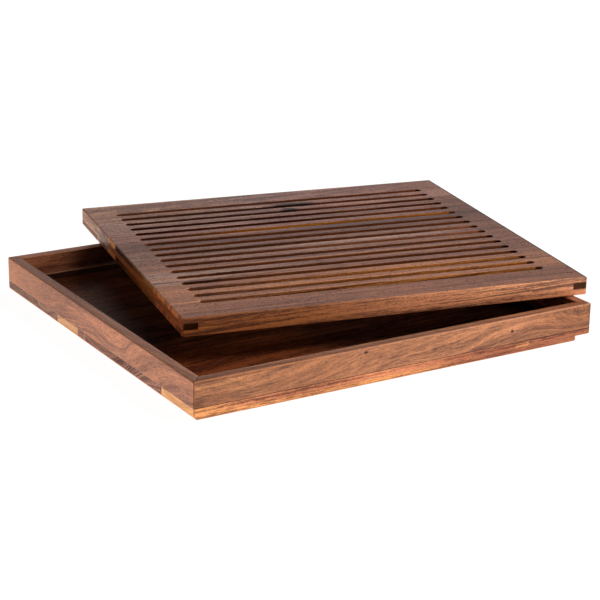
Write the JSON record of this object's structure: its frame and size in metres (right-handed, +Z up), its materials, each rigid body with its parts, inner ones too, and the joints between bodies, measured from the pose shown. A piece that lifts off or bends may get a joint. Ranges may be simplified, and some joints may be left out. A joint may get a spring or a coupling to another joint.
{
  "type": "bread board",
  "caption": "Walnut bread board: a slotted cutting grid that lifts off a shallow crumb tray, shown lying askew across the tray's rim.",
  "frame": {"origin": "middle of the crumb tray's flat underside, on the surface it stands on", "axes": "+Z up, +X to the right along the tray's longer side and its grain, -Y to the front"},
  "size_m": [0.4785, 0.4373, 0.05],
  "materials": {
    "walnut_tray_walls": "hand-rubbed oil, satin",
    "walnut_seat_rails": "hand-rubbed oil, satin",
    "walnut_base_sapwood": "hand-rubbed oil, satin",
    "walnut_base_heartwood": "hand-rubbed oil, satin",
    "walnut_grid_warm": "hand-rubbed oil, satin, planed and sanded",
    "walnut_grid_grey": "hand-rubbed oil, satin, planed and sanded",
    "walnut_grid_tongues": "hand-rubbed oil, satin"
  },
  "bodies": {
    "tray": {"tray_wall_front": "walnut_tray_walls", "tray_wall_right": "walnut_tray_walls", "tray_wall_back": "walnut_tray_walls", "tray_wall_left": "walnut_tray_walls", "base_stave_1": "walnut_base_sapwood", "base_stave_2": "walnut_base_heartwood", "base_stave_3": "walnut_base_heartwood", "base_stave_4": "walnut_base_sapwood", "base_stave_5": "walnut_base_heartwood", "base_stave_6": "walnut_base_heartwood", "seat_rail_front": "walnut_seat_rails", "seat_rail_right": "walnut_seat_rails", "seat_rail_back": "walnut_seat_rails", "seat_rail_left": "walnut_seat_rails"},
    "grid": {"grid_stave_1": "walnut_grid_warm", "grid_stave_2": "walnut_grid_warm", "grid_stave_3": "walnut_grid_grey", "grid_stave_4": "walnut_grid_grey", "grid_stave_5": "walnut_grid_grey", "grid_tongue_left": "walnut_grid_tongues", "grid_tongue_right": "walnut_grid_tongues"}
  },
  "joints": [
    {"name": "grid_lift", "type": "slide", "parent": "tray", "child": "grid", "axis": [0, 0, 1], "range_m": [0, 0.1]}
  ]
}
